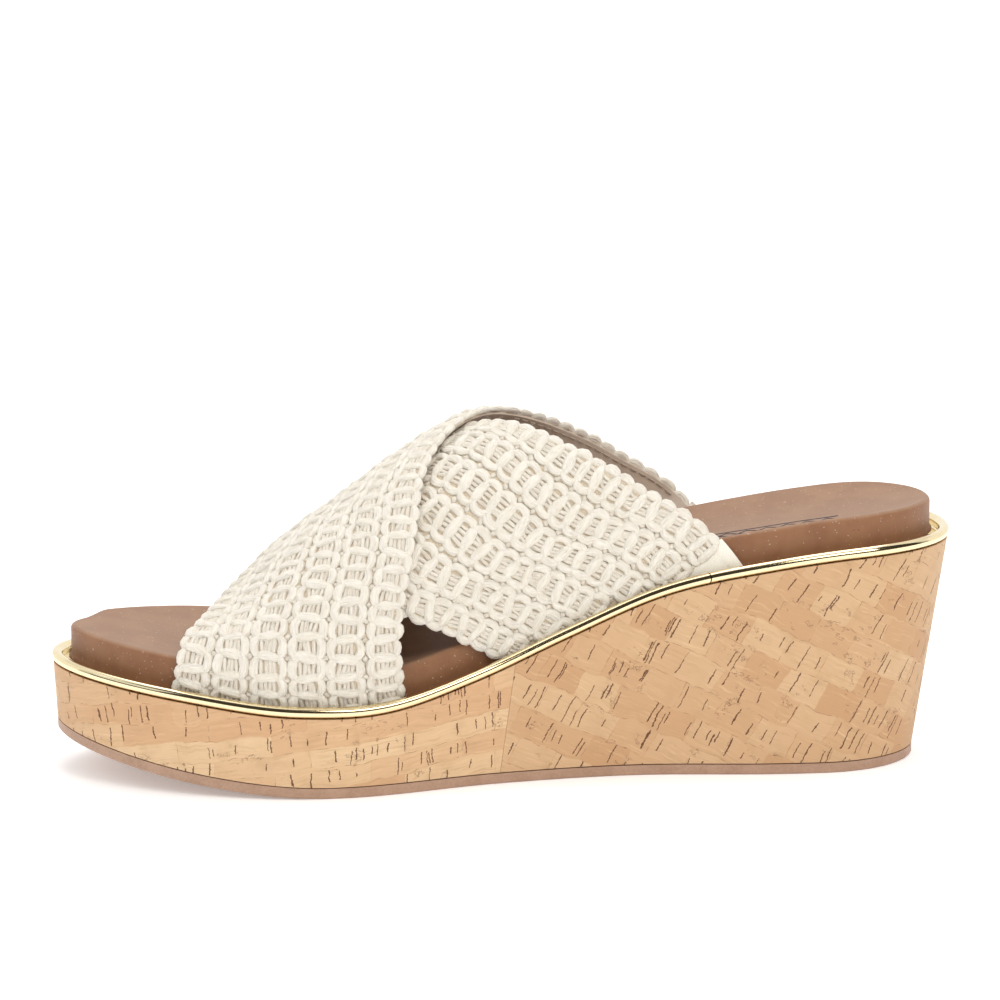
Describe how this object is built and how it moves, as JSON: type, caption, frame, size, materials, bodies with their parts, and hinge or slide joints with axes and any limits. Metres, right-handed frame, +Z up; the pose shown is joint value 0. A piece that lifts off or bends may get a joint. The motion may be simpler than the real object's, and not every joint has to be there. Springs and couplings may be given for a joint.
{
  "type": "wedge sandal",
  "caption": "Slip-on cork-covered wedge sandal with two crossed crochet straps over a contoured footbed, edged by a thin gold welt, for the right foot.",
  "frame": {"origin": "on the flat underside of the outsole, half way between toe and heel and on the shoe's long centre line", "axes": "+Z up from the ground, -X towards the toe, +X towards the heel, -Y towards the inner side of the foot"},
  "size_m": [0.2586, 0.0933, 0.1021],
  "materials": {
    "outsole_rubber": "matte moulded rubber",
    "core_foam": "moulded foam",
    "cork": "natural cork sheet, lightly sealed",
    "gold_welt": "mirror gold",
    "board_fibre": "pressed fibre board",
    "filler_felt": "felt",
    "steel": "plain",
    "footbed_foam": "moulded foam, finely speckled",
    "cotton_crochet": "crocheted cotton roving",
    "lining_microfibre": "smooth microfibre",
    "cotton_webbing": "tightly woven",
    "stitch_thread": "waxed thread"
  },
  "bodies": {
    "root": {"outsole": "outsole_rubber", "wedge_core": "core_foam", "cork_cover_front": "cork", "cork_cover_back": "cork", "welt_strip": "gold_welt", "insole_board": "board_fibre", "bottom_filler": "filler_felt", "shank": "steel", "shank_rivet_front": "steel", "shank_rivet_back": "steel", "footbed": "footbed_foam", "over_strap_crochet": "cotton_crochet", "over_strap_lining": "lining_microfibre", "over_strap_end_tab": "cotton_webbing", "over_strap_front_stitches": "stitch_thread", "over_strap_back_stitches": "stitch_thread", "under_strap_crochet": "cotton_crochet", "under_strap_lining": "lining_microfibre", "under_strap_end_tab": "cotton_webbing", "under_strap_front_stitches": "stitch_thread", "under_strap_back_stitches": "stitch_thread"}
  },
  "joints": []
}
